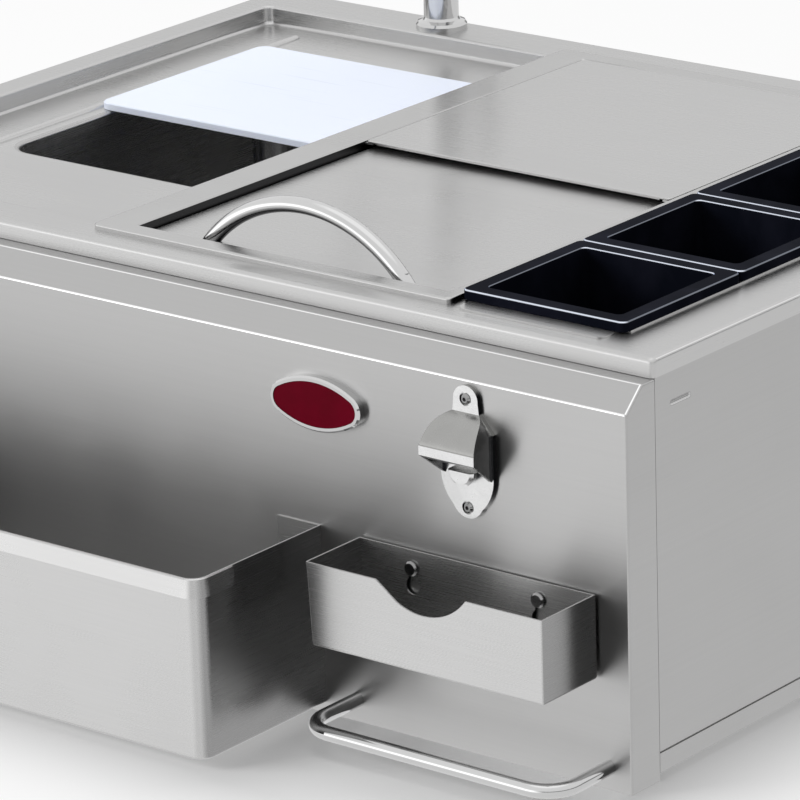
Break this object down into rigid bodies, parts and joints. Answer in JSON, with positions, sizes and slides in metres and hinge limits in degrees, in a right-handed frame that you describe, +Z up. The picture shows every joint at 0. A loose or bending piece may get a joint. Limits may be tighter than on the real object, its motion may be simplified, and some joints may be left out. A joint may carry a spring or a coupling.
{
  "type": "bar sink with ice bin",
  "caption": "Drop-in stainless bar centre: sunken sink with sliding board, lidded ice bin, condiment trays, faucet, speed rail, opener, cap catcher and towel bar.",
  "frame": {"origin": "middle of the cabinet's base, on the surface it stands on", "axes": "+X to the right along the front, +Y to the back, +Z up; the front panel faces -Y"},
  "size_m": [0.762, 0.7197, 0.541],
  "materials": {
    "brushed_panel": "brushed, grain along the width",
    "brushed_deck": "brushed, grain along the width",
    "brushed_sink": "satin, drawn",
    "polished_trim": "polished",
    "cast_opener": "satin nickel",
    "screw_steel": "turned",
    "black_tray": "gloss moulded",
    "white_board": "matt polyethylene",
    "red_enamel": "gloss enamel, bare",
    "foam": "cut foam",
    "seal_rubber": "matt",
    "drain_plastic": "moulded"
  },
  "bodies": {
    "cabinet": {"front_panel": "brushed_panel", "right_side_panel": "brushed_panel", "left_side_panel": "brushed_panel", "rear_panel": "brushed_panel", "base_pan": "brushed_panel", "top_deck": "brushed_deck", "sink_deck": "brushed_deck", "sink_bowl": "brushed_sink", "sink_strainer_body": "polished_trim", "sink_drain_gasket": "seal_rubber", "sink_drain_nut": "drain_plastic", "sink_tailpiece": "polished_trim", "sink_slip_nut": "drain_plastic", "ice_bin_frame": "brushed_deck", "rear_lid_shelf": "brushed_deck", "ice_bin_liner": "brushed_sink", "bin_insulation": "foam", "bin_drain_nipple": "polished_trim", "bin_drain_gasket": "seal_rubber", "bin_drain_nut": "screw_steel", "tray_well": "brushed_deck", "faucet_body": "polished_trim", "faucet_washer": "seal_rubber", "faucet_nut": "screw_steel", "speed_rail": "brushed_panel", "rail_screws": "screw_steel", "bottle_opener": "cast_opener", "opener_screws": "screw_steel", "catcher_studs": "screw_steel", "towel_bar": "polished_trim", "towel_bar_nuts": "screw_steel", "badge_bezel": "polished_trim", "badge_inlay": "red_enamel"},
    "strainer_basket": {"strainer_basket": "polished_trim"},
    "cutting_board": {"cutting_board": "white_board"},
    "front_lid": {"front_lid": "brushed_deck", "lid_handle": "polished_trim", "handle_screws": "screw_steel"},
    "rear_lid": {"rear_lid": "brushed_deck"},
    "cap_catcher": {"cap_catcher": "brushed_panel"},
    "faucet_spout": {"faucet_spout": "polished_trim", "spout_aerator": "polished_trim"},
    "faucet_lever": {"faucet_lever": "polished_trim"},
    "condiment_tray_1": {"condiment_tray_1": "black_tray"},
    "condiment_tray_2": {"condiment_tray_2": "black_tray"},
    "condiment_tray_3": {"condiment_tray_3": "black_tray"},
    "condiment_tray_4": {"condiment_tray_4": "black_tray"}
  },
  "joints": [
    {"name": "front_lid_slide", "type": "slide", "parent": "cabinet", "child": "front_lid", "axis": [0, 1, 0], "range_m": [0, 0.215]},
    {"name": "rear_lid_lift", "type": "slide", "parent": "cabinet", "child": "rear_lid", "axis": [0, 0, 1], "range_m": [0, 0.08]},
    {"name": "board_slide", "type": "slide", "parent": "cabinet", "child": "cutting_board", "axis": [0, 1, 0], "range_m": [-0.235, 0.055]},
    {"name": "strainer_lift", "type": "slide", "parent": "cabinet", "child": "strainer_basket", "axis": [0, 0, 1], "range_m": [0, 0.12]},
    {"name": "catcher_lift", "type": "slide", "parent": "cabinet", "child": "cap_catcher", "axis": [0, 0, 1], "range_m": [0, 0.012]},
    {"name": "spout_swivel", "type": "hinge", "parent": "cabinet", "child": "faucet_spout", "pos_m": [-0.207, 0.276, 0.367], "axis": [0, 0, 1], "range_deg": [-110, 110]},
    {"name": "lever_turn", "type": "hinge", "parent": "cabinet", "child": "faucet_lever", "pos_m": [-0.18, 0.276, 0.335], "axis": [1, 0, 0], "range_deg": [0, 80]},
    {"name": "tray_1_lift", "type": "slide", "parent": "cabinet", "child": "condiment_tray_1", "axis": [0, 0, 1], "range_m": [0, 0.1]},
    {"name": "tray_2_lift", "type": "slide", "parent": "cabinet", "child": "condiment_tray_2", "axis": [0, 0, 1], "range_m": [0, 0.1]},
    {"name": "tray_3_lift", "type": "slide", "parent": "cabinet", "child": "condiment_tray_3", "axis": [0, 0, 1], "range_m": [0, 0.1]},
    {"name": "tray_4_lift", "type": "slide", "parent": "cabinet", "child": "condiment_tray_4", "axis": [0, 0, 1], "range_m": [0, 0.1]}
  ]
}
